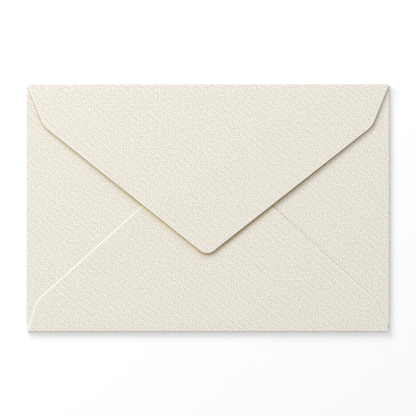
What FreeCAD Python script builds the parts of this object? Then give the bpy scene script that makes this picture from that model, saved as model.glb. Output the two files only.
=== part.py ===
import FreeCAD, Part

# A closed paper envelope with a pointed flap, folded from one sheet and glued. Millimetres.
#
# The envelope lies on its address panel with the flap side up. The origin is the middle of that
# panel's outer face, +X runs along the long side and +Y points at the fold of the closing flap.
# The side flaps are folded in first, the bottom flap is glued over them, and the closing flap
# lies on top and springs open a little.

import os

import Sketcher
from FreeCAD import Placement, Rotation, Vector

# Driving dimensions: name, value and what it measures
DIMENSIONS = [
    ("envelope_width", 176.0, "over the two side folds"),
    ("envelope_height", 120.0, "over the top and bottom folds"),
    ("paper_thickness", 0.2, "one layer of the sheet"),
    ("pocket_gap", 0.4, "between the address panel and the side flaps"),
    ("flap_gap", 0.1, "between the bottom flap and the closing flap, at its fold"),
    ("flap_spring", 0.2, "degrees by which the closing flap stands open"),
    ("fold_end_inset", 0.1, "from the panel's edge to the ends of the top and bottom folds"),
    ("corner_relief", 0.3, "from the panel's edge to the ends of the side folds"),
    ("closing_depth", 83.2, "top fold to the closing flap's point, before it is rounded"),
    ("closing_shoulder_inset", 8.4, "side fold to the closing flap's shoulder"),
    ("closing_shoulder_depth", 20.3, "top fold to the closing flap's shoulder"),
    ("closing_shoulder_radius", 11.0, "rounding of the closing flap's shoulders"),
    ("closing_tip_radius", 5.0, "rounding of the closing flap's point"),
    ("closing_lean", 0.4, "from the envelope's middle to the closing flap's point, towards -X"),
    ("bottom_depth", 89.3, "bottom fold to the bottom flap's point, before it is rounded"),
    ("bottom_shoulder_inset", 5.4, "side fold to the bottom flap's shoulder"),
    ("bottom_shoulder_depth", 15.0, "bottom fold to the bottom flap's shoulder"),
    ("bottom_shoulder_radius", 11.0, "rounding of the bottom flap's shoulders"),
    ("bottom_tip_radius", 12.0, "rounding of the bottom flap's point"),
    ("bottom_lean", 0.7, "from the envelope's middle to the bottom flap's, towards -X"),
    ("side_depth", 76.0, "side fold to the side flap's point, before it is rounded"),
    ("side_tip_radius", 10.0, "rounding of the side flap's point"),
    ("seam_overlap", 17.5, "from the bottom flap's edge down to the side flap's point"),
]

# Outer radii of the folds: each one goes round the layers and the gaps that lie inside it
SIDE_RADIUS = "(sizes.pocket_gap / 2 + sizes.paper_thickness)"
BOTTOM_RADIUS = "(sizes.pocket_gap / 2 + 1.5 * sizes.paper_thickness)"
TOP_RADIUS = "((sizes.pocket_gap + sizes.flap_gap) / 2 + 2 * sizes.paper_thickness)"

# The flat part of the address panel ends where its folds begin
PANEL_SIDE = f"(sizes.envelope_width / 2 - {SIDE_RADIUS})"
PANEL_BOTTOM = f"(sizes.envelope_height / 2 - {BOTTOM_RADIUS})"
PANEL_TOP = f"(sizes.envelope_height / 2 - {TOP_RADIUS})"
FOLD_END = f"({PANEL_SIDE} - sizes.fold_end_inset)"
SIDE_FOLD_BOTTOM = f"({PANEL_BOTTOM} - sizes.corner_relief)"
SIDE_FOLD_TOP = f"({PANEL_TOP} - sizes.corner_relief)"

# The side flap's point lies below the bottom flap's sloping edge, inside the glued seam
SIDE_POINT = "(sizes.envelope_width / 2 - sizes.side_depth)"
BOTTOM_SLOPE = (
    "((sizes.bottom_depth - sizes.bottom_shoulder_depth)"
    " / (sizes.envelope_width / 2 - sizes.bottom_shoulder_inset))"
)
SIDE_POINT_DROP = (
    f"(sizes.envelope_height / 2 - sizes.bottom_depth"
    f" + {SIDE_POINT} * {BOTTOM_SLOPE} + sizes.seam_overlap)"
)

doc = FreeCAD.newDocument("envelope")


def make_sheet():
    """The sheet of driving dimensions, with a name, a value and a meaning on each row."""
    sheet = doc.addObject("Spreadsheet::Sheet", "sizes")
    for row, (name, size, meaning) in enumerate(DIMENSIONS, start=1):
        sheet.set(f"A{row}", name)
        sheet.set(f"B{row}", str(size))
        sheet.set(f"C{row}", meaning)
        sheet.setAlias(f"B{row}", name)
    doc.recompute()
    return sheet


sizes = make_sheet()
body = doc.addObject("PartDesign::Body", "envelope")


def size_of(expression):
    """What an expression on the sheet comes to."""
    return float(sizes.evalExpression(expression))


def origin_plane(role):
    """One of the body's own origin planes."""
    return next(plane for plane in body.Origin.OriginFeatures if plane.Role == role)


def new_sketch(name, role, offsets, turn_axis=Vector(0, 0, 1)):
    """A sketch on an origin plane, moved and turned by offsets that the sheet drives."""
    sketch = body.newObject("Sketcher::SketchObject", name)
    sketch.AttachmentSupport = [(origin_plane(role), "")]
    sketch.MapMode = "FlatFace"
    sketch.AttachmentOffset = Placement(Vector(), Rotation(turn_axis, 0))
    for target, expression in offsets.items():
        sketch.setExpression(f"AttachmentOffset.{target}", expression)
    return sketch


def own_origin():
    """How a sketch numbers its own origin."""
    return (-1, 1)


def start_of(line):
    """How a sketch numbers the point where a line starts."""
    return (line, 1)


def end_of(line):
    """How a sketch numbers the point where a line ends."""
    return (line, 2)


def own_axis(direction):
    """How a sketch numbers its own axis, on which X or Y is 0."""
    return -2 if direction == "X" else -1


def bind(sketch, name, kind, where, expression):
    """A dimension of the sketch that the sheet drives."""
    index = sketch.addConstraint(Sketcher.Constraint(kind, *where, size_of(expression)))
    sketch.renameConstraint(index, name)
    sketch.setExpression(f"Constraints.{name}", expression)


def place_corner(sketch, name, corner, x, y):
    """Holds a corner at x and y, which may be 0, from the sketch's own origin."""
    for direction, expression in (("X", x), ("Y", y)):
        kind = f"Distance{direction}"
        if expression == "0":
            on_axis = (*corner, own_axis(direction))
            sketch.addConstraint(Sketcher.Constraint("PointOnObject", *on_axis))
        elif size_of(expression) < 0:
            to_origin = (*corner, *own_origin())
            bind(sketch, f"{name}_{direction}", kind, to_origin, f"-({expression})")
        else:
            from_origin = (*own_origin(), *corner)
            bind(sketch, f"{name}_{direction}", kind, from_origin, expression)


def draw_outline(sketch, corners):
    """A closed outline of straight edges. Corners are name, x, y and rounding radius or None."""
    points = [Vector(size_of(x), size_of(y)) for name, x, y, radius in corners]
    following = points[1:] + points[:1]
    for point, next_point in zip(points, following):
        sketch.addGeometry(Part.LineSegment(point, next_point))
    for line in range(len(corners)):
        line_before = (line - 1) % len(corners)
        shared = (*end_of(line_before), *start_of(line))
        sketch.addConstraint(Sketcher.Constraint("Coincident", *shared))
    for line, (name, x, y, radius) in enumerate(corners):
        place_corner(sketch, name, start_of(line), x, y)
    for line, (name, x, y, radius) in enumerate(corners):
        if radius:
            arc = sketch.GeometryCount
            sketch.fillet(*start_of(line), size_of(radius), True, True)
            bind(sketch, f"{name}_radius", "Radius", (arc,), radius)


def add_layer(name, sketch):
    """One thickness of paper on the sketched outline."""
    layer = body.newObject("PartDesign::Pad", name)
    layer.Profile = sketch
    layer.setExpression("Length", "sizes.paper_thickness")
    return layer


def add_fold(name, role, offset, ends, radius, turn, anticlockwise):
    """The strip at the panel's edge, turned over about a line one radius above its outer face.

    Anticlockwise is the sense of the turn, seen from the low end of the line.
    """
    low, high = ends
    sketch = new_sketch(f"{name}_section", role, {"Base.z": offset})
    draw_outline(
        sketch,
        [
            ("low_outside", low, "0", None),
            ("high_outside", high, "0", None),
            ("high_inside", high, "sizes.paper_thickness", None),
            ("low_inside", low, "sizes.paper_thickness", None),
        ],
    )
    start = Vector(size_of(low), size_of(radius))
    end = Vector(size_of(high), size_of(radius))
    axis = sketch.addGeometry(Part.LineSegment(start, end), True)
    place_corner(sketch, "axis_low", start_of(axis), low, radius)
    place_corner(sketch, "axis_high", end_of(axis), high, radius)
    doc.recompute()
    fold = body.newObject("PartDesign::Revolution", name)
    fold.Profile = sketch
    fold.ReferenceAxis = (sketch, ["Axis0"])
    fold.Reversed = anticlockwise
    fold.setExpression("Angle", turn)
    return fold


def add_panel():
    """The address panel, as far as its folds."""
    sketch = new_sketch("panel_outline", "XY_Plane", {})
    draw_outline(
        sketch,
        [
            ("lower_left", f"-{PANEL_SIDE}", f"-{PANEL_BOTTOM}", None),
            ("lower_right", PANEL_SIDE, f"-{PANEL_BOTTOM}", None),
            ("upper_right", PANEL_SIDE, PANEL_TOP, None),
            ("upper_left", f"-{PANEL_SIDE}", PANEL_TOP, None),
        ],
    )
    add_layer("panel", sketch)


def add_side_flaps():
    """The left side flap, a triangle with a rounded point, and its mirror image."""
    ends = (f"-{SIDE_FOLD_BOTTOM}", SIDE_FOLD_TOP)
    fold = add_fold("side_fold", "YZ_Plane", f"-{PANEL_SIDE}", ends, SIDE_RADIUS, "180", False)
    sketch = new_sketch(
        "side_flap_outline", "XY_Plane", {"Base.z": f"2 * {SIDE_RADIUS} - sizes.paper_thickness"}
    )
    draw_outline(
        sketch,
        [
            ("root_top", f"-{PANEL_SIDE}", SIDE_FOLD_TOP, None),
            ("root_bottom", f"-{PANEL_SIDE}", f"-{SIDE_FOLD_BOTTOM}", None),
            ("point", f"-{SIDE_POINT}", f"-{SIDE_POINT_DROP}", "sizes.side_tip_radius"),
        ],
    )
    flap = add_layer("side_flap", sketch)
    doc.recompute()
    mirrored = body.newObject("PartDesign::Mirrored", "side_flaps")
    mirrored.Originals = [fold, flap]
    mirrored.MirrorPlane = (origin_plane("YZ_Plane"), [""])
    body.Tip = mirrored


def draw_pointed_flap(sketch, which, fold_radius, towards, shoulder_middle):
    """Two shoulders and a rounded point. Towards is 1 where the point lies at +Y, else -1."""
    root_x = f"{towards} * {FOLD_END}"
    half_width = f"{towards} * (sizes.envelope_width / 2 - sizes.{which}_shoulder_inset)"
    shoulder_y = f"{towards} * (sizes.{which}_shoulder_depth - {fold_radius})"
    point_y = f"{towards} * (sizes.{which}_depth - {fold_radius})"
    rounding = f"sizes.{which}_shoulder_radius"
    draw_outline(
        sketch,
        [
            ("first_root", f"-({root_x})", "0", None),
            ("second_root", root_x, "0", None),
            ("second_shoulder", f"{shoulder_middle} + {half_width}", shoulder_y, rounding),
            ("point", f"-sizes.{which}_lean", point_y, f"sizes.{which}_tip_radius"),
            ("first_shoulder", f"{shoulder_middle} - {half_width}", shoulder_y, rounding),
        ],
    )


def add_bottom_flap():
    """The flap that is glued over the side flaps."""
    ends = (f"-{FOLD_END}", FOLD_END)
    add_fold("bottom_fold", "XZ_Plane", PANEL_BOTTOM, ends, BOTTOM_RADIUS, "180", True)
    offsets = {
        "Base.y": f"-{PANEL_BOTTOM}",
        "Base.z": f"2 * {BOTTOM_RADIUS} - sizes.paper_thickness",
    }
    sketch = new_sketch("bottom_flap_outline", "XY_Plane", offsets)
    draw_pointed_flap(sketch, "bottom", BOTTOM_RADIUS, 1, "-sizes.bottom_lean")
    add_layer("bottom_flap", sketch)


def add_closing_flap():
    """The flap that closes the envelope. It stands open by its spring."""
    ends = (f"-{FOLD_END}", FOLD_END)
    turn = "180 - sizes.flap_spring"
    add_fold("top_fold", "XZ_Plane", f"-{PANEL_TOP}", ends, TOP_RADIUS, turn, False)
    inner_radius = f"({TOP_RADIUS} - sizes.paper_thickness)"
    offsets = {
        "Base.y": f"{PANEL_TOP} + {inner_radius} * sin(sizes.flap_spring)",
        "Base.z": f"{TOP_RADIUS} + {inner_radius} * cos(sizes.flap_spring)",
        "Rotation.Angle": "sizes.flap_spring",
    }
    sketch = new_sketch("closing_flap_outline", "XY_Plane", offsets, Vector(-1, 0, 0))
    draw_pointed_flap(sketch, "closing", TOP_RADIUS, -1, "0")
    add_layer("closing_flap", sketch)


def check_objects():
    """Stops if anything in the document failed, or if the envelope isn't one valid solid."""
    for item in doc.Objects:
        if {"Invalid", "Error"} & set(item.State):
            raise RuntimeError(f"{item.Name} failed: {item.State}")
    shape = body.Shape
    if shape.isNull() or not shape.isValid() or len(shape.Solids) != 1:
        raise RuntimeError("the envelope isn't one valid solid")


add_panel()
add_side_flaps()
add_bottom_flap()
add_closing_flap()
doc.recompute()
check_objects()

os.makedirs("parts", exist_ok=True)
body.Shape.exportStep(f"parts/{body.Label}.step")
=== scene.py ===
import math

import bpy
import numpy as np
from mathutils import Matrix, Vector
from mathutils.geometry import delaunay_2d_cdt


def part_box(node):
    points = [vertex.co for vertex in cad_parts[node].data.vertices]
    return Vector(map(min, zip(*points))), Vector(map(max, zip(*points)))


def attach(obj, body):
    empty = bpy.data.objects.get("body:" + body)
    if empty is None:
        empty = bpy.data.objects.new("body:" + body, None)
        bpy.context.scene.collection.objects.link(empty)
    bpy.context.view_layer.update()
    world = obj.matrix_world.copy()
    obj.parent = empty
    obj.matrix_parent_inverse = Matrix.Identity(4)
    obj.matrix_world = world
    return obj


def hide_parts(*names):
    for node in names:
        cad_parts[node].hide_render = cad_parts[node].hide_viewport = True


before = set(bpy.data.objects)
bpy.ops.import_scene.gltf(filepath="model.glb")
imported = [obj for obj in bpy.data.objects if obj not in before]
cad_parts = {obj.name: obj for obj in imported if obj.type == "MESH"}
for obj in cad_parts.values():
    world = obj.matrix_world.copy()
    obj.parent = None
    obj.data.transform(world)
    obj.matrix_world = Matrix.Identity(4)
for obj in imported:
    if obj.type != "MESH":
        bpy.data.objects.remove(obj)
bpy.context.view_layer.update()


# The envelope's sheet
# One piece of cream writing paper, embossed with a fine linen weave. It is die-cut flat, with a
# flap on each side of the address panel, then the side flaps are turned in, the bottom flap is
# glued over them and the closing flap is folded down over all three, where it springs a little.

MM = 0.001
PAPER = 0.2
POCKET_GAP = 0.4
FLAP_GAP = 0.1
FLAP_SPRING = math.radians(0.2)
GLUE_LINE = 0.004

# Bend radii of the middle of the paper: each fold goes round the layers that lie inside it
SIDE_BEND = (POCKET_GAP + PAPER) / 2 - GLUE_LINE
BOTTOM_BEND = (POCKET_GAP + 2 * PAPER) / 2
TOP_BEND = (POCKET_GAP + FLAP_GAP + 3 * PAPER) / 2

low_corner, high_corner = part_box("envelope")
WIDTH = (high_corner.x - low_corner.x) / MM
HEIGHT = (high_corner.y - low_corner.y) / MM
SIDE_LINE = WIDTH / 2 - (POCKET_GAP + 2 * PAPER) / 2
BOTTOM_LINE = HEIGHT / 2 - BOTTOM_BEND - PAPER / 2
TOP_LINE = HEIGHT / 2 - TOP_BEND - PAPER / 2
FOLD_END_INSET = 0.1
FOLD_END = SIDE_LINE - FOLD_END_INSET
CORNER_RELIEF = 0.3

# The two pointed flaps, measured in from the fold and from the envelope's sides
CLOSING_FLAP = {
    "depth": 83.2,
    "shoulder_inset": 8.4,
    "shoulder_depth": 20.3,
    "shoulder_radius": 11,
    "tip_radius": 5,
    "point_lean": 0.4,
    "shoulder_lean": 0,
}
BOTTOM_FLAP = {
    "depth": 89.3,
    "shoulder_inset": 5.4,
    "shoulder_depth": 15,
    "shoulder_radius": 11,
    "tip_radius": 12,
    "point_lean": 0.7,
    "shoulder_lean": 0.7,
}

# The side flaps, whose points lie just above the middle
SIDE_DEPTH = 76
SIDE_TIP_RADIUS = 10
SIDE_POINT = 0.81

# The flat blank is sampled closely at its cut edges and its folds, and loosely between them
EDGE_STEP = 1.4
ARC_STEP = math.radians(6)
RIM_ROWS = (0.09, 0.19, 0.31, 0.45, 0.62, 0.85)
FOLD_ROWS = 12
FOLD_STEP = 2.4
PANEL_STEP = 4.0
RIM_TO_FOLD = 0.12
RIM_TOLERANCE = 0.04
PANEL_MARGIN = 1.2
MERGE_DISTANCE = 1e-5


def pointed_flap(
    bend, sweep, along_x, depth, shoulder_inset, shoulder_depth, shoulder_radius, tip_radius,
    point_lean, shoulder_lean,
):
    """Corners of a flap with two shoulders and a point: along its fold, past it, rounding.

    Along_x is 1 where the flap's own frame runs along +X and -1 where it runs along -X. The
    flap leans towards -X.
    """
    start = bend * sweep
    middle = -shoulder_lean * along_x
    taken = bend + PAPER / 2
    shoulder = WIDTH / 2 - shoulder_inset
    shoulder_past = start + shoulder_depth - taken
    return [
        (-FOLD_END, 0, 0),
        (-FOLD_END, start, 0),
        (middle - shoulder, shoulder_past, shoulder_radius),
        (-point_lean * along_x, start + depth - taken, tip_radius),
        (middle + shoulder, shoulder_past, shoulder_radius),
        (FOLD_END, start, 0),
        (FOLD_END, 0, 0),
    ]


def side_flap(low_end, high_end, point_along):
    """Corners of a side flap, a triangle with a rounded point."""
    start = SIDE_BEND * math.pi
    return [
        (low_end, 0, 0),
        (low_end, start, 0),
        (point_along, start + SIDE_DEPTH - SIDE_BEND - PAPER / 2, SIDE_TIP_RADIUS),
        (high_end, start, 0),
        (high_end, 0, 0),
    ]


side_low = CORNER_RELIEF - BOTTOM_LINE
side_high = TOP_LINE - CORNER_RELIEF
top_sweep = math.pi - FLAP_SPRING

# Each flap's corners in its own frame, and how that frame lies on the blank
flaps = {
    "right": (side_flap(side_low, side_high, SIDE_POINT), lambda a, s: (SIDE_LINE + s, a)),
    "closing": (
        pointed_flap(TOP_BEND, top_sweep, -1, **CLOSING_FLAP),
        lambda a, s: (-a, TOP_LINE + s),
    ),
    "left": (side_flap(-side_high, -side_low, -SIDE_POINT), lambda a, s: (-SIDE_LINE - s, -a)),
    "bottom": (
        pointed_flap(BOTTOM_BEND, math.pi, 1, **BOTTOM_FLAP),
        lambda a, s: (a, -BOTTOM_LINE - s),
    ),
}
PANEL_CORNERS = {
    "right": (SIDE_LINE, TOP_LINE),
    "closing": (-SIDE_LINE, TOP_LINE),
    "left": (-SIDE_LINE, -BOTTOM_LINE),
    "bottom": (SIDE_LINE, -BOTTOM_LINE),
}


def rounded(corners):
    """The line through the corners, with an arc of its own radius in place of each one."""
    line = []
    for index, (x, y, radius) in enumerate(corners):
        here = Vector((x, y))
        if not radius:
            line.append(here)
            continue
        back = (Vector(corners[index - 1][:2]) - here).normalized()
        ahead = (Vector(corners[index + 1][:2]) - here).normalized()
        half_angle = back.angle(ahead) / 2
        centre = here + (back + ahead).normalized() * radius / math.sin(half_angle)
        first = here + back * radius / math.tan(half_angle) - centre
        turn = math.pi - 2 * half_angle
        pieces = math.ceil(turn / ARC_STEP)
        sense = math.copysign(1, back.cross(ahead))
        for piece in range(pieces + 1):
            angle = -sense * turn * piece / pieces
            cosine, sine = math.cos(angle), math.sin(angle)
            turned = Vector((first.x * cosine - first.y * sine, first.x * sine + first.y * cosine))
            line.append(centre + turned)
    return line


def divided(line, step):
    """The same line with its long stretches cut into steps."""
    points = []
    for start, end in zip(line, line[1:]):
        pieces = max(1, round((end - start).length / step))
        points += [start.lerp(end, piece / pieces) for piece in range(pieces)]
    return points + [line[-1]]


def fold_columns(low, high):
    """Places along a fold: close together at its cut ends, evenly spaced between."""
    inner_low, inner_high = low + RIM_ROWS[-1], high - RIM_ROWS[-1]
    pieces = round((inner_high - inner_low) / FOLD_STEP)
    between = [inner_low + (inner_high - inner_low) * k / pieces for k in range(pieces + 1)]
    ends = [low, *(low + row for row in RIM_ROWS[:-1])]
    return ends + between + [low + high - end for end in reversed(ends)]


outline = []
fold_points = []
strips = []
for name, (corners, on_blank) in flaps.items():
    strip_depth = corners[1][1]
    low, high = corners[0][0], corners[-1][0]
    rows = [strip_depth * row / FOLD_ROWS for row in range(FOLD_ROWS + 1)]
    free_edge = divided(rounded(corners[1:-1]), EDGE_STEP)
    around = [(low, row) for row in rows[:-1]] + [tuple(point) for point in free_edge]
    around += [(high, row) for row in reversed(rows[:-1])]
    outline += [on_blank(*point) for point in around] + [PANEL_CORNERS[name]]
    fold_points += [on_blank(a, row) for row in rows for a in fold_columns(low, high)[1:-1]]
    strips.append((on_blank(low, 0), on_blank(high, strip_depth)))

outline = np.array(outline)
strip_low = np.array([np.minimum(*strip) for strip in strips])
strip_high = np.array([np.maximum(*strip) for strip in strips])


def from_cut_edge(points):
    """Distance of each point from the nearest cut edge of the blank."""
    starts, ends = outline, np.roll(outline, -1, axis=0)
    along = ends - starts
    nearest = np.full(len(points), np.inf)
    for start, way in zip(starts, along):
        share = np.clip((points - start) @ way / (way @ way), 0, 1)
        gap = np.linalg.norm(points - start - share[:, None] * way, axis=1)
        nearest = np.minimum(nearest, gap)
    return nearest


def inside_blank(points):
    """Whether each point lies on the blank, by counting the edges that a level ray crosses."""
    x0, y0 = outline.T
    x1, y1 = np.roll(outline, -1, axis=0).T
    inside = np.zeros(len(points), bool)
    for ax, ay, bx, by in zip(x0, y0, x1, y1):
        if ay == by:
            continue
        crosses = (points[:, 1] >= min(ay, by)) & (points[:, 1] < max(ay, by))
        crossing = ax + (points[:, 1] - ay) * (bx - ax) / (by - ay)
        inside ^= crosses & (crossing > points[:, 0])
    return inside


def off_strips(points, margin):
    """Whether each point is further than the margin from every fold strip."""
    away = (points[:, None] < strip_low - margin) | (points[:, None] > strip_high + margin)
    return away.any(axis=2).all(axis=1)


# Rows of points that follow the cut edge, each one a little further inside it
ahead = np.roll(outline, -1, axis=0) - outline
behind = outline - np.roll(outline, 1, axis=0)
ahead /= np.linalg.norm(ahead, axis=1)[:, None]
behind /= np.linalg.norm(behind, axis=1)[:, None]
inward = ahead + behind
inward = np.stack([-inward[:, 1], inward[:, 0]], axis=1)
inward /= np.linalg.norm(inward, axis=1)[:, None]
rim_points = []
for row in RIM_ROWS:
    points = outline + inward * row
    keep = inside_blank(points) & off_strips(points, RIM_TO_FOLD)
    keep &= np.abs(from_cut_edge(points) - row) < RIM_TOLERANCE * row
    rim_points.append(points[keep])

# An even grid over the rest
farthest = np.abs(outline).max()
ticks = np.arange(-farthest, farthest, PANEL_STEP)
grid = np.stack(np.meshgrid(ticks, ticks), axis=-1).reshape(-1, 2)
grid = grid[inside_blank(grid) & off_strips(grid, PANEL_MARGIN)]
grid = grid[from_cut_edge(grid) > RIM_ROWS[-1] + PANEL_MARGIN]

all_points = np.concatenate([outline, np.array(fold_points), *rim_points, grid])
whole_outline = [list(range(len(outline)))]
INSIDE_ONLY = 1
flat_points, _, flat_faces, *_ = delaunay_2d_cdt(
    [Vector(point) for point in all_points], [], whole_outline, INSIDE_ONLY, MERGE_DISTANCE
)
flat_points = np.array([tuple(point) for point in flat_points])
count = len(flat_points)

# The blank as a thin solid: the outer face below, the inner face above, the cut edge between
directed = {(start, end) for face in flat_faces for start, end in zip(face, [*face[1:], face[0]])}
border = [(start, end) for start, end in directed if (end, start) not in directed]
solid_points = [(x, y, side * PAPER / 2) for side in (-1, 1) for x, y in flat_points]
solid_faces = [tuple(reversed(face)) for face in flat_faces]
solid_faces += [tuple(count + index for index in face) for face in flat_faces]
solid_faces += [(start, end, count + end, count + start) for start, end in border]
sheet_mesh = bpy.data.meshes.new("folded_sheet_blank")
sheet_mesh.from_pydata([Vector(point) * MM for point in solid_points], [], solid_faces)
sheet_mesh.polygons.foreach_set("use_smooth", [True] * len(solid_faces))
cut_face = sheet_mesh.attributes.new("cut_face", "BOOLEAN", "FACE")
is_cut = [index >= 2 * len(flat_faces) for index in range(len(solid_faces))]
cut_face.data.foreach_set("value", is_cut)
edge_distance = np.tile(from_cut_edge(flat_points), 2) * MM
from_cut = sheet_mesh.attributes.new("from_cut", "FLOAT", "POINT")
from_cut.data.foreach_set("value", edge_distance)
border_keys = {(min(pair), max(pair)) for pair in border}
border_keys |= {(low + count, high + count) for low, high in border_keys}
for edge in sheet_mesh.edges:
    edge.use_edge_sharp = tuple(sorted(edge.vertices)) in border_keys
blank_map = sheet_mesh.uv_layers.new(name="blank")
for loop in sheet_mesh.loops:
    blank_map.uv[loop.index].vector = sheet_mesh.vertices[loop.vertex_index].co.xy


def add_node(tree, kind, sockets=None, **settings):
    """A node with its settings made, and each named or numbered input linked or set."""
    node = tree.nodes.new(kind)
    for name, value in settings.items():
        setattr(node, name, value)
    for socket, value in (sockets or {}).items():
        if isinstance(value, bpy.types.NodeSocket):
            tree.links.new(value, node.inputs[socket])
        else:
            node.inputs[socket].default_value = value
    return node


def worked_out(tree, operation, *values):
    """The result of one Math node."""
    sockets = dict(enumerate(values))
    return add_node(tree, "ShaderNodeMath", sockets, operation=operation).outputs[0]


def carried_over(tree, value, start, end, first=0.0, last=1.0, **settings):
    """The value, carried over from the range start to end onto the range first to last."""
    sockets = {0: value, 1: start, 2: end, 3: first, 4: last}
    return add_node(tree, "ShaderNodeMapRange", sockets, **settings).outputs[0]


# Turning a flap over: what lies past the fold line goes round the bend and back over the panel.
# A roundness of 1 is a round bend. The folding plate presses it squarer.
turn_over = bpy.data.node_groups.new("turn_over", "GeometryNodeTree")
for name in ("Past Line", "Height", "Bend Radius", "Bend Angle", "Roundness"):
    turn_over.interface.new_socket(name=name, in_out="INPUT", socket_type="NodeSocketFloat")
for name in ("Past Line", "Height", "Past Bend"):
    turn_over.interface.new_socket(name=name, in_out="OUTPUT", socket_type="NodeSocketFloat")
given = add_node(turn_over, "NodeGroupInput").outputs
angle = worked_out(turn_over, "DIVIDE", given["Past Line"], given["Bend Radius"])
angle = worked_out(turn_over, "MAXIMUM", angle, 0.0)
angle = worked_out(turn_over, "MINIMUM", angle, given["Bend Angle"])
bent_length = worked_out(turn_over, "MULTIPLY", angle, given["Bend Radius"])
straight = worked_out(turn_over, "SUBTRACT", given["Past Line"], bent_length)
own_radius = worked_out(turn_over, "SUBTRACT", given["Bend Radius"], given["Height"])
sine = worked_out(turn_over, "SINE", angle)
cosine = worked_out(turn_over, "COSINE", angle)
pressed_out = worked_out(turn_over, "POWER", sine, given["Roundness"])
pressed_up = worked_out(turn_over, "ABSOLUTE", cosine)
pressed_up = worked_out(turn_over, "POWER", pressed_up, given["Roundness"])
pressed_up = worked_out(turn_over, "MULTIPLY", pressed_up, worked_out(turn_over, "SIGN", cosine))
across = worked_out(turn_over, "MULTIPLY", straight, cosine)
across = worked_out(turn_over, "MULTIPLY_ADD", own_radius, pressed_out, across)
dropped = worked_out(turn_over, "MULTIPLY", own_radius, pressed_up)
height = worked_out(turn_over, "SUBTRACT", given["Bend Radius"], dropped)
height = worked_out(turn_over, "MULTIPLY_ADD", straight, sine, height)
sockets = {"Past Line": across, "Height": height, "Past Bend": straight}
add_node(turn_over, "NodeGroupOutput", sockets)

# Folding the whole blank, flap by flap
fold_up = bpy.data.node_groups.new("fold_up_the_blank", "GeometryNodeTree")
fold_up.is_modifier = True
fold_up.interface.new_socket(name="Blank", in_out="INPUT", socket_type="NodeSocketGeometry")
FOLD_SIZES = {
    "Side Line": SIDE_LINE * MM,
    "Bottom Line": BOTTOM_LINE * MM,
    "Top Line": TOP_LINE * MM,
    "Side Bend": SIDE_BEND * MM,
    "Bottom Bend": BOTTOM_BEND * MM,
    "Top Bend": TOP_BEND * MM,
    "Closing Flap Angle": top_sweep,
    "Closing Flap Length": (CLOSING_FLAP["depth"] - TOP_BEND - PAPER / 2) * MM,
    "Closing Flap Bow": 0.04 * MM,
    "Fold Roundness": 0.55,
    "Crushed Depth": 0.055 * MM,
    "Crushed Width": 0.5 * MM,
    "Rest Height": PAPER / 2 * MM,
}
for name in FOLD_SIZES:
    fold_up.interface.new_socket(name=name, in_out="INPUT", socket_type="NodeSocketFloat")
for name in ("Paper Finish", "Cut Edge Finish"):
    fold_up.interface.new_socket(name=name, in_out="INPUT", socket_type="NodeSocketMaterial")
fold_up.interface.new_socket(name="Envelope", in_out="OUTPUT", socket_type="NodeSocketGeometry")
given = add_node(fold_up, "NodeGroupInput").outputs
blank_place = add_node(fold_up, "GeometryNodeInputPosition").outputs[0]
axes = add_node(fold_up, "ShaderNodeSeparateXYZ", {0: blank_place}).outputs
named = add_node(
    fold_up, "GeometryNodeInputNamedAttribute", {"Name": "from_cut"}, data_type="FLOAT"
)
crushed = carried_over(
    fold_up, named.outputs[0], 0.0, given["Crushed Width"], given["Crushed Depth"], 0.0,
    interpolation_type="SMOOTHERSTEP",
)
outer_side = worked_out(fold_up, "LESS_THAN", axes["Z"], 0.0)
height = worked_out(fold_up, "MULTIPLY_ADD", outer_side, crushed, axes["Z"])


def folded(past_line, height, bend, angle):
    """The turn_over group, set to one fold."""
    sockets = {
        "Past Line": past_line,
        "Height": height,
        "Bend Radius": bend,
        "Bend Angle": angle,
        "Roundness": given["Fold Roundness"],
    }
    return add_node(fold_up, "GeometryNodeGroup", sockets, node_tree=turn_over).outputs


side_past = worked_out(fold_up, "ABSOLUTE", axes["X"])
side_past = worked_out(fold_up, "SUBTRACT", side_past, given["Side Line"])
side_turn = folded(side_past, height, given["Side Bend"], math.pi)
bottom_past = worked_out(fold_up, "MULTIPLY", axes["Y"], -1.0)
bottom_past = worked_out(fold_up, "SUBTRACT", bottom_past, given["Bottom Line"])
bottom_turn = folded(bottom_past, side_turn["Height"], given["Bottom Bend"], math.pi)
bottom_y = worked_out(fold_up, "ADD", bottom_turn["Past Line"], given["Bottom Line"])
bottom_y = worked_out(fold_up, "MULTIPLY", bottom_y, -1.0)
top_past = worked_out(fold_up, "SUBTRACT", bottom_y, given["Top Line"])
top_turn = folded(top_past, bottom_turn["Height"], given["Top Bend"], given["Closing Flap Angle"])
folded_y = worked_out(fold_up, "ADD", top_turn["Past Line"], given["Top Line"])
folded_x = worked_out(fold_up, "ADD", side_turn["Past Line"], given["Side Line"])
side_sign = worked_out(fold_up, "SIGN", axes["X"])
folded_x = worked_out(fold_up, "MULTIPLY", folded_x, side_sign)
flap_share = worked_out(fold_up, "DIVIDE", top_turn["Past Bend"], given["Closing Flap Length"])
flap_share = worked_out(fold_up, "MAXIMUM", flap_share, 0.0)
bow = worked_out(fold_up, "SINE", worked_out(fold_up, "MULTIPLY", flap_share, math.pi))
folded_z = worked_out(
    fold_up, "MULTIPLY_ADD", bow, given["Closing Flap Bow"], top_turn["Height"]
)
folded_z = worked_out(fold_up, "ADD", folded_z, given["Rest Height"])
moved_to = add_node(fold_up, "ShaderNodeCombineXYZ", {0: folded_x, 1: folded_y, 2: folded_z})
shaped = add_node(
    fold_up,
    "GeometryNodeSetPosition",
    {"Geometry": given["Blank"], "Position": moved_to.outputs[0]},
)
whole = add_node(fold_up, "GeometryNodeRealizeInstances", {0: shaped.outputs[0]})
finished = add_node(
    fold_up,
    "GeometryNodeSetMaterial",
    {"Geometry": whole.outputs[0], "Material": given["Paper Finish"]},
)
cut_faces = add_node(
    fold_up, "GeometryNodeInputNamedAttribute", {"Name": "cut_face"}, data_type="BOOLEAN"
)
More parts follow.
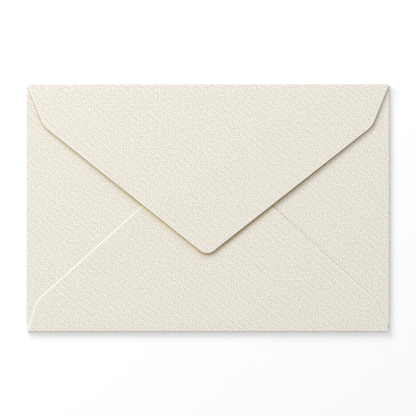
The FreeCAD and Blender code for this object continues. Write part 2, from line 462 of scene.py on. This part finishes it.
finished = add_node(
    fold_up,
    "GeometryNodeSetMaterial",
    {
        "Geometry": finished.outputs[0],
        "Selection": cut_faces.outputs[0],
        "Material": given["Cut Edge Finish"],
    },
)
add_node(fold_up, "NodeGroupOutput", {"Envelope": finished.outputs[0]})

# Linen emboss, as the roller presses it: fine slanting ribs broken up by the cross threads.
# Place is in millimetres on the blank.
linen_weave = bpy.data.node_groups.new("linen_weave", "ShaderNodeTree")
linen_weave.interface.new_socket(name="Place", in_out="INPUT", socket_type="NodeSocketVector")
WEAVE_SHARES = {
    "Ribs": 0.21,
    "Counter Ribs": 0.03,
    "Upright Threads": 0.035,
    "Level Threads": 0.01,
    "Broad Ribs": 0.035,
    "Fibre": 1.1,
}
FIBRE_SCALE = 1.3
STRAY = 1.4
STRAY_SCALE = 0.06
PATCH_LOW, PATCH_HIGH = 0.35, 0.65
for name, share in WEAVE_SHARES.items():
    socket = linen_weave.interface.new_socket(
        name=name, in_out="INPUT", socket_type="NodeSocketFloat"
    )
    socket.default_value = share
linen_weave.interface.new_socket(name="Relief", in_out="OUTPUT", socket_type="NodeSocketFloat")
given = add_node(linen_weave, "NodeGroupInput").outputs


def placed(tree, operation, *values):
    """The outputs of one Vector Math node: a place, then a single number."""
    sockets = dict(enumerate(values))
    return add_node(tree, "ShaderNodeVectorMath", sockets, operation=operation).outputs


# The threads stray a little from their straight lines
wander = add_node(
    linen_weave, "ShaderNodeTexNoise",
    {"Vector": given["Place"], "Scale": STRAY_SCALE, "Detail": 1.0},
)
strayed = placed(linen_weave, "SUBTRACT", wander.outputs["Color"], (0.5, 0.5, 0.5))[0]
strayed = placed(linen_weave, "MULTIPLY_ADD", strayed, (STRAY, STRAY, 0.0), given["Place"])[0]


def threads(frequency):
    """One set of parallel threads: so many to the millimetre along X and Y of the blank."""
    turns = (2 * math.pi * frequency[0], 2 * math.pi * frequency[1], 0)
    phase = placed(linen_weave, "DOT_PRODUCT", strayed, turns)["Value"]
    return worked_out(linen_weave, "SINE", phase)


def patches(scale, low, high, offset):
    """How strong a set of threads is from place to place."""
    shifted = placed(linen_weave, "ADD", given["Place"], offset)[0]
    noise = add_node(
        linen_weave, "ShaderNodeTexNoise", {"Vector": shifted, "Scale": scale, "Detail": 1.0}
    )
    return carried_over(linen_weave, noise.outputs[0], PATCH_LOW, PATCH_HIGH, low, high)


# Each set's threads to the millimetre, then its patches' scale, weakest, strongest and place
relief = 0.5
for name, frequency, scale, low, high, offset in (
    ("Ribs", (0.648, -0.741), 0.30, 0.35, 1.6, (0, 0, 0)),
    ("Counter Ribs", (0.644, 0.741), 0.2, 0.0, 1.4, (40, 10, 0)),
    ("Upright Threads", (0.709, 0), 0.3, 0.2, 1.5, (5, 90, 0)),
    ("Level Threads", (0, 0.741), 0.3, 0.2, 1.5, (70, 30, 0)),
    ("Broad Ribs", (0.25, -0.292), 0.3, 0.2, 1.5, (20, 60, 0)),
):
    strength = patches(scale, low, high, offset)
    strength = worked_out(linen_weave, "MULTIPLY", given[name], strength)
    relief = worked_out(linen_weave, "MULTIPLY_ADD", threads(frequency), strength, relief)
fibre = add_node(
    linen_weave, "ShaderNodeTexNoise",
    {"Vector": given["Place"], "Scale": FIBRE_SCALE, "Detail": 1.0, "Roughness": 0.8},
)
fibre = worked_out(linen_weave, "SUBTRACT", fibre.outputs[0], 0.5)
relief = worked_out(linen_weave, "MULTIPLY_ADD", fibre, given["Fibre"], relief)
add_node(linen_weave, "NodeGroupOutput", {"Relief": relief})


def new_finish(name, roughness):
    """A matt material, its node tree and its shader."""
    finish = bpy.data.materials.new(name)
    finish.use_nodes = True
    shader = finish.node_tree.nodes["Principled BSDF"]
    shader.inputs["Roughness"].default_value = roughness
    shader.inputs["Specular IOR Level"].default_value = 0.25
    return finish, finish.node_tree, shader


def mixed(tree, share, first, second, **settings):
    """The first colour, with a share of the second one mixed in."""
    sockets = {0: share, 6: first, 7: second}
    return add_node(tree, "ShaderNodeMix", sockets, data_type="RGBA", **settings).outputs[2]


def blank_in_mm(tree):
    """Where a point lies on the flat blank, in millimetres."""
    on_map = add_node(tree, "ShaderNodeUVMap", uv_map="blank").outputs[0]
    return placed(tree, "MULTIPLY", on_map, (1 / MM, 1 / MM, 0))[0]


# Painted shadow along the edge of a flap: the layer below is painted darker and warmer where the
# flap's shadow falls on it. This group gives how far a point lies outside a pointed flap, whose
# straight edges run from a rounded tip to two rounded shoulders, and from there to the ends of its
# fold. Across and Out are measured from the middle of the fold.
beside_flap = bpy.data.node_groups.new("beside_flap", "ShaderNodeTree")
for name in (
    "Across", "Out", "Point Lean", "Shoulder Lean", "Tip Centre", "Facing Across", "Facing Out",
    "Straight Length", "Tip Radius", "Shoulder Radius", "Shoulder Depth", "Shoulder Turn",
):
    beside_flap.interface.new_socket(name=name, in_out="INPUT", socket_type="NodeSocketFloat")
beside_flap.interface.new_socket(name="Gap", in_out="OUTPUT", socket_type="NodeSocketFloat")
given = add_node(beside_flap, "NodeGroupInput").outputs


def beside(operation, *values):
    """The result of one Math node of this group."""
    return worked_out(beside_flap, operation, *values)


to_shoulder = beside("DIVIDE", given["Out"], given["Shoulder Depth"])
to_shoulder = beside("MINIMUM", to_shoulder, 1.0)
to_point = beside("SUBTRACT", given["Tip Centre"], given["Shoulder Depth"])
to_point = beside("DIVIDE", beside("SUBTRACT", given["Out"], given["Shoulder Depth"]), to_point)
to_point = beside("MINIMUM", beside("MAXIMUM", to_point, 0.0), 1.0)
lean_here = beside("SUBTRACT", given["Point Lean"], given["Shoulder Lean"])
lean_here = beside("MULTIPLY", lean_here, to_point)
lean_here = beside("MULTIPLY_ADD", given["Shoulder Lean"], to_shoulder, lean_here)
across = beside("ABSOLUTE", beside("ADD", given["Across"], lean_here))
out = beside("SUBTRACT", given["Out"], given["Tip Centre"])
off_line = beside("MULTIPLY", across, given["Facing Across"])
off_line = beside("MULTIPLY_ADD", out, given["Facing Out"], off_line)
along = beside("MULTIPLY", across, given["Facing Out"])
along = beside("SUBTRACT", along, beside("MULTIPLY", out, given["Facing Across"]))
before_tip = beside("MINIMUM", along, 0.0)
from_shoulder = beside("SUBTRACT", along, given["Straight Length"])
past_shoulder = beside("MAXIMUM", from_shoulder, 0.0)
off_shoulder = beside("SUBTRACT", given["Shoulder Radius"], given["Tip Radius"])
off_shoulder = beside("ADD", off_line, off_shoulder)
tip_reach = beside("MULTIPLY", off_line, off_line)
tip_reach = beside("SQRT", beside("MULTIPLY_ADD", before_tip, before_tip, tip_reach))
shoulder_reach = beside("MULTIPLY", off_shoulder, off_shoulder)
shoulder_reach = beside("MULTIPLY_ADD", past_shoulder, past_shoulder, shoulder_reach)
shoulder_reach = beside("SUBTRACT", beside("SQRT", shoulder_reach), off_shoulder)
gap = beside("SUBTRACT", beside("ADD", tip_reach, shoulder_reach), given["Tip Radius"])
turn_cosine = beside("COSINE", given["Shoulder Turn"])
turn_sine = beside("SINE", given["Shoulder Turn"])
up_edge = beside("MULTIPLY", from_shoulder, turn_cosine)
up_edge = beside("SUBTRACT", up_edge, beside("MULTIPLY", off_shoulder, turn_sine))
on_short_edge = beside("GREATER_THAN", beside("MINIMUM", up_edge, from_shoulder), 0.0)
short_gap = beside("MULTIPLY", off_shoulder, turn_cosine)
short_gap = beside("MULTIPLY_ADD", from_shoulder, turn_sine, short_gap)
short_gap = beside("SUBTRACT", short_gap, given["Shoulder Radius"])
gap = beside("MULTIPLY_ADD", beside("SUBTRACT", short_gap, gap), on_short_edge, gap)
add_node(beside_flap, "NodeGroupOutput", {"Gap": gap})


def flap_edge_sizes(
    depth, shoulder_inset, shoulder_depth, shoulder_radius, tip_radius, point_lean, shoulder_lean
):
    """The group's sizes for one pointed flap: its straight edge and the centres of its arcs."""
    tip = Vector((0, depth))
    shoulder = Vector((WIDTH / 2 - shoulder_inset, shoulder_depth))
    way = (shoulder - tip).normalized()
    facing = Vector((-way.y, way.x))
    upward = (Vector((FOLD_END, 0)) - shoulder).normalized()
    half_angle = way.angle(-upward) / 2
    tip_centre = depth - tip_radius / facing.y
    run_out = shoulder_radius * math.tan(math.pi / 2 - half_angle)
    straight = (shoulder - tip).length - run_out - tip_radius * facing.x / facing.y
    return {
        "Point Lean": point_lean,
        "Shoulder Lean": shoulder_lean,
        "Tip Centre": tip_centre,
        "Facing Across": facing.x,
        "Facing Out": facing.y,
        "Straight Length": straight,
        "Tip Radius": tip_radius,
        "Shoulder Radius": shoulder_radius,
        "Shoulder Depth": shoulder_depth,
        "Shoulder Turn": math.pi - 2 * half_angle,
    }


# The painted shadow is full close to the flap's edge, then it dies away. It reaches further
# towards the flap's point, where the flap stands higher, and less far on the right. It starts just
# past the fold, and the left shadow colour gives way to the right one across the middle. All in
# millimetres, but for the shares.
FULL_SHARE = 0.58
SHARE_OF_REACH_AT_FOLD = 0.38
SHARE_OF_REACH_AT_POINT = 1.25
FOLD_TO_POINT = 60.0
NARROWER_ON_RIGHT = 0.2
SHADOW_STARTS, SHADOW_WHOLE = 0.25, 0.7
MIDDLE_BLEND = 8.0
ABOVE_PANEL = 0.5
LAYER_MARGIN = 0.05


def painted_flap_shadow(tree, place, colour, flap_sizes, outward, floor_height, reach, left_shadow, right_shadow):
    """The colour, with painted shadow along a flap's edge where the layer below it shows."""
    from_fold = worked_out(tree, "MULTIPLY_ADD", place["Y"], outward, HEIGHT / 2)
    sockets = {"Across": place["X"], "Out": from_fold, **flap_edge_sizes(**flap_sizes)}
    gap = add_node(tree, "ShaderNodeGroup", sockets, node_tree=beside_flap).outputs["Gap"]
    outwards = carried_over(
        tree, from_fold, 0.0, FOLD_TO_POINT,
        -SHARE_OF_REACH_AT_FOLD * reach, -SHARE_OF_REACH_AT_POINT * reach,
    )
    side = carried_over(tree, place["X"], -MIDDLE_BLEND, MIDDLE_BLEND)
    narrower = worked_out(tree, "MULTIPLY_ADD", side, -NARROWER_ON_RIGHT, 1.0)
    outwards = worked_out(tree, "MULTIPLY", narrower, outwards)
    share = worked_out(tree, "EXPONENT", worked_out(tree, "DIVIDE", gap, outwards))
    share = worked_out(tree, "MINIMUM", worked_out(tree, "DIVIDE", share, FULL_SHARE), 1.0)
    below = worked_out(tree, "LESS_THAN", place["Z"], floor_height + LAYER_MARGIN)
    above = worked_out(tree, "GREATER_THAN", place["Z"], ABOVE_PANEL)
    share = worked_out(tree, "MULTIPLY", share, worked_out(tree, "MULTIPLY", below, above))
    past_fold = carried_over(tree, from_fold, SHADOW_STARTS, SHADOW_WHOLE)
    share = worked_out(tree, "MULTIPLY", share, past_fold)
    # The painted shadow's colour, from the left one to the right one
    tone = mixed(tree, side, left_shadow, right_shadow)
    return mixed(tree, share, colour, tone, blend_type="MULTIPLY")


# Colours of the emboss's ridges and valleys; the valleys' colour holds painted shade
RIDGE = (0.93, 0.95, 0.95, 1)
SHADED_VALLEY = (0.54, 0.46, 0.31, 1)
SIDE_FLAP_TOP = PAPER * 2 + POCKET_GAP
BOTTOM_FLAP_TOP = SIDE_FLAP_TOP + PAPER
# Painted shadow on the layers beside the closing flap's edge, much deeper on the right
CLOSING_FLAP_SHADOW = {
    "outward": -1.0,
    "floor_height": BOTTOM_FLAP_TOP,
    "reach": 0.85,
    "left_shadow": (0.84, 0.71, 0.47, 1),
    "right_shadow": (0.48, 0.30, 0.09, 1),
}
# Painted shade along the bottom flap's edge: faint on the left, darker on the right
BOTTOM_FLAP_SHADOW = {
    "outward": 1.0,
    "floor_height": SIDE_FLAP_TOP,
    "reach": 0.3,
    "left_shadow": (0.97, 0.95, 0.92, 1),
    "right_shadow": (0.72, 0.64, 0.5, 1),
}

# The cutter presses the emboss smooth along the cut edges, and the colour there is lighter
RIM_PRESSED = 0.25 * MM
RIM_END = 0.8 * MM
RIM_SMOOTHNESS = 0.85
RIM_RELIEF = 0.72

# Painted shade on the folds at the envelope's edges, darkest at the very edge. That of the top
# and bottom folds is wider, because these folds go round more layers.
PAINTED_FOLD_SHADE = (0.65, 0.64, 0.615, 1)
FOLD_SHADE_DARKEST, FOLD_SHADE_END = 0.04, 0.45
SIDE_FOLD_SHADE_CLOSENESS = 1.2
END_FOLD_SHADE_CLOSENESS = 0.8

ROUGH_VALLEY, ROUGH_RIDGE = 0.88, 0.7
EMBOSS_DEPTH = 0.02 * MM

paper_finish, tree, shader = new_finish("linen_paper", 0.8)
sockets = {"Place": blank_in_mm(tree)}
weave = add_node(tree, "ShaderNodeGroup", sockets, node_tree=linen_weave)
distance = add_node(tree, "ShaderNodeAttribute", attribute_name="from_cut")
pressed = carried_over(
    tree, distance.outputs["Fac"], RIM_PRESSED, RIM_END, RIM_SMOOTHNESS, 0.0,
    interpolation_type="SMOOTHSTEP",
)
relief = add_node(
    tree, "ShaderNodeMix", {0: pressed, 2: weave.outputs["Relief"], 3: RIM_RELIEF},
    data_type="FLOAT",
).outputs[0]
# The colour follows the relief: the emboss's valleys are painted darker and warmer, as shade in
# them
colour = mixed(tree, relief, SHADED_VALLEY, RIDGE)
place = add_node(tree, "ShaderNodeTexCoord").outputs["Object"]
place = placed(tree, "MULTIPLY", place, (1 / MM, 1 / MM, 1 / MM))[0]
place = add_node(tree, "ShaderNodeSeparateXYZ", {0: place}).outputs
# The layers beside both pointed flaps get painted shadow along the flaps' edges
colour = painted_flap_shadow(tree, place, colour, CLOSING_FLAP, **CLOSING_FLAP_SHADOW)
colour = painted_flap_shadow(tree, place, colour, BOTTOM_FLAP, **BOTTOM_FLAP_SHADOW)
from_side = worked_out(tree, "ABSOLUTE", place["X"])
from_side = worked_out(tree, "SUBTRACT", WIDTH / 2, from_side)
from_side = worked_out(tree, "MULTIPLY", from_side, SIDE_FOLD_SHADE_CLOSENESS)
from_end = worked_out(tree, "ABSOLUTE", place["Y"])
from_end = worked_out(tree, "SUBTRACT", HEIGHT / 2, from_end)
from_end = worked_out(tree, "MULTIPLY", from_end, END_FOLD_SHADE_CLOSENESS)
fold_shade = carried_over(
    tree, worked_out(tree, "MINIMUM", from_side, from_end), FOLD_SHADE_DARKEST, FOLD_SHADE_END, 1.0, 0.0,
    interpolation_type="SMOOTHSTEP",
)
# Painted shade darkens the folds along the envelope's edges
colour = mixed(tree, fold_shade, colour, PAINTED_FOLD_SHADE, blend_type="MULTIPLY")
tree.links.new(colour, shader.inputs["Base Color"])
rough = carried_over(tree, relief, 0.0, 1.0, ROUGH_VALLEY, ROUGH_RIDGE)
tree.links.new(rough, shader.inputs["Roughness"])
bump = add_node(
    tree, "ShaderNodeBump", {"Strength": 1.0, "Distance": EMBOSS_DEPTH, "Height": relief}
)
tree.links.new(bump.outputs[0], shader.inputs["Normal"])

# The bare fibres of the cut
CUT_SHADE = (0.70, 0.66, 0.57, 1)
CUT_LIGHT = (0.84, 0.82, 0.76, 1)
cut_finish, tree, shader = new_finish("cut_edge", 0.85)
fibre = add_node(
    tree, "ShaderNodeTexNoise", {"Vector": blank_in_mm(tree), "Scale": 3.0, "Detail": 3.0}
)
colour = mixed(tree, fibre.outputs[0], CUT_SHADE, CUT_LIGHT)
tree.links.new(colour, shader.inputs["Base Color"])

# The blank is folded and becomes a plain mesh
blank = bpy.data.objects.new("blank", sheet_mesh)
bpy.context.scene.collection.objects.link(blank)
folding = blank.modifiers.new("folding", "NODES")
folding.node_group = fold_up
sockets = {item.name: item.identifier for item in fold_up.interface.items_tree}
for name, size in FOLD_SIZES.items():
    folding[sockets[name]] = size
folding[sockets["Paper Finish"]] = paper_finish
folding[sockets["Cut Edge Finish"]] = cut_finish
evaluated = bpy.context.evaluated_depsgraph_get()
folded_mesh = bpy.data.meshes.new_from_object(
    blank.evaluated_get(evaluated), preserve_all_data_layers=True, depsgraph=evaluated
)
bpy.data.objects.remove(blank)
folded_mesh.name = "folded_sheet"
folded_sheet = bpy.data.objects.new("folded_sheet", folded_mesh)
bpy.context.scene.collection.objects.link(folded_sheet)
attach(folded_sheet, "root")
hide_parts("envelope")


# The table
# A matt white board that the envelope lies on, large enough that its edge is never in view. The
# sheet's underside stays just clear of it, as paper never lies quite flat.

BOARD_SIDE = 8.0
BOARD_CLEARANCE = 0.02 * MM
BOARD_COLOUR = (0.93, 0.93, 0.93, 1)
half = BOARD_SIDE / 2
board_corners = [
    (x, y, -BOARD_CLEARANCE)
    for x, y in ((-half, -half), (half, -half), (half, half), (-half, half))
]
board_mesh = bpy.data.meshes.new("board")
board_mesh.from_pydata(board_corners, [], [(0, 1, 2, 3)])
board_white, tree, shader = new_finish("board_white", 0.9)
shader.inputs["Base Color"].default_value = BOARD_COLOUR
board_mesh.materials.append(board_white)
board = bpy.data.objects.new("board", board_mesh)
bpy.context.scene.collection.objects.link(board)


# The studio light
# One wide soft box that stands low at the upper left and faces the envelope, and an even light
# from all round, as from the studio's white walls.

KEY_AZIMUTH = math.radians(128.5)
KEY_ELEVATION = math.radians(14.2)
KEY_DISTANCE = 1.15
KEY_WIDTH = 1.25
KEY_HEIGHT = 0.23
KEY_POWER = 19.3
SURROUND_STRENGTH = 0.79

lamp = bpy.data.lights.new("key_box", "AREA")
lamp.shape = "RECTANGLE"
lamp.size = KEY_WIDTH
lamp.size_y = KEY_HEIGHT
lamp.energy = KEY_POWER
key_box = bpy.data.objects.new("key_box", lamp)
level = math.cos(KEY_ELEVATION)
key_way = Vector(
    (math.cos(KEY_AZIMUTH) * level, math.sin(KEY_AZIMUTH) * level, math.sin(KEY_ELEVATION))
)
key_box.location = key_way * KEY_DISTANCE
key_box.rotation_euler = key_way.to_track_quat("Z", "Y").to_euler()
key_box.visible_camera = False
bpy.context.scene.collection.objects.link(key_box)
world = bpy.data.worlds.new("studio")
bpy.context.scene.world = world
world.use_nodes = True
surround = world.node_tree.nodes["Background"]
surround.inputs["Color"].default_value = (1, 1, 1, 1)
surround.inputs["Strength"].default_value = SURROUND_STRENGTH
bpy.context.scene.view_settings.view_transform = "Standard"

# The denoiser's usual prefilter would smooth the fine emboss away
bpy.context.scene.cycles.denoising_prefilter = "NONE"


# The camera
# It looks straight down on the closed flap side. The photograph's 416 pixels cover 201.6 mm at
# the height of the flap, and its middle lies a little above the envelope's own.

VIEW_WIDTH = 201.58 * MM
VIEW_MIDDLE = 0.036 * MM
FLAP_HEIGHT = 1.0 * MM
camera_data = bpy.data.cameras.new("camera")
camera_data.lens = 85
camera_data.sensor_width = 36
camera = bpy.data.objects.new("camera", camera_data)
view_distance = VIEW_WIDTH * camera_data.lens / camera_data.sensor_width
camera.location = (0, VIEW_MIDDLE, view_distance + FLAP_HEIGHT)
bpy.context.scene.collection.objects.link(camera)
bpy.context.scene.camera = camera
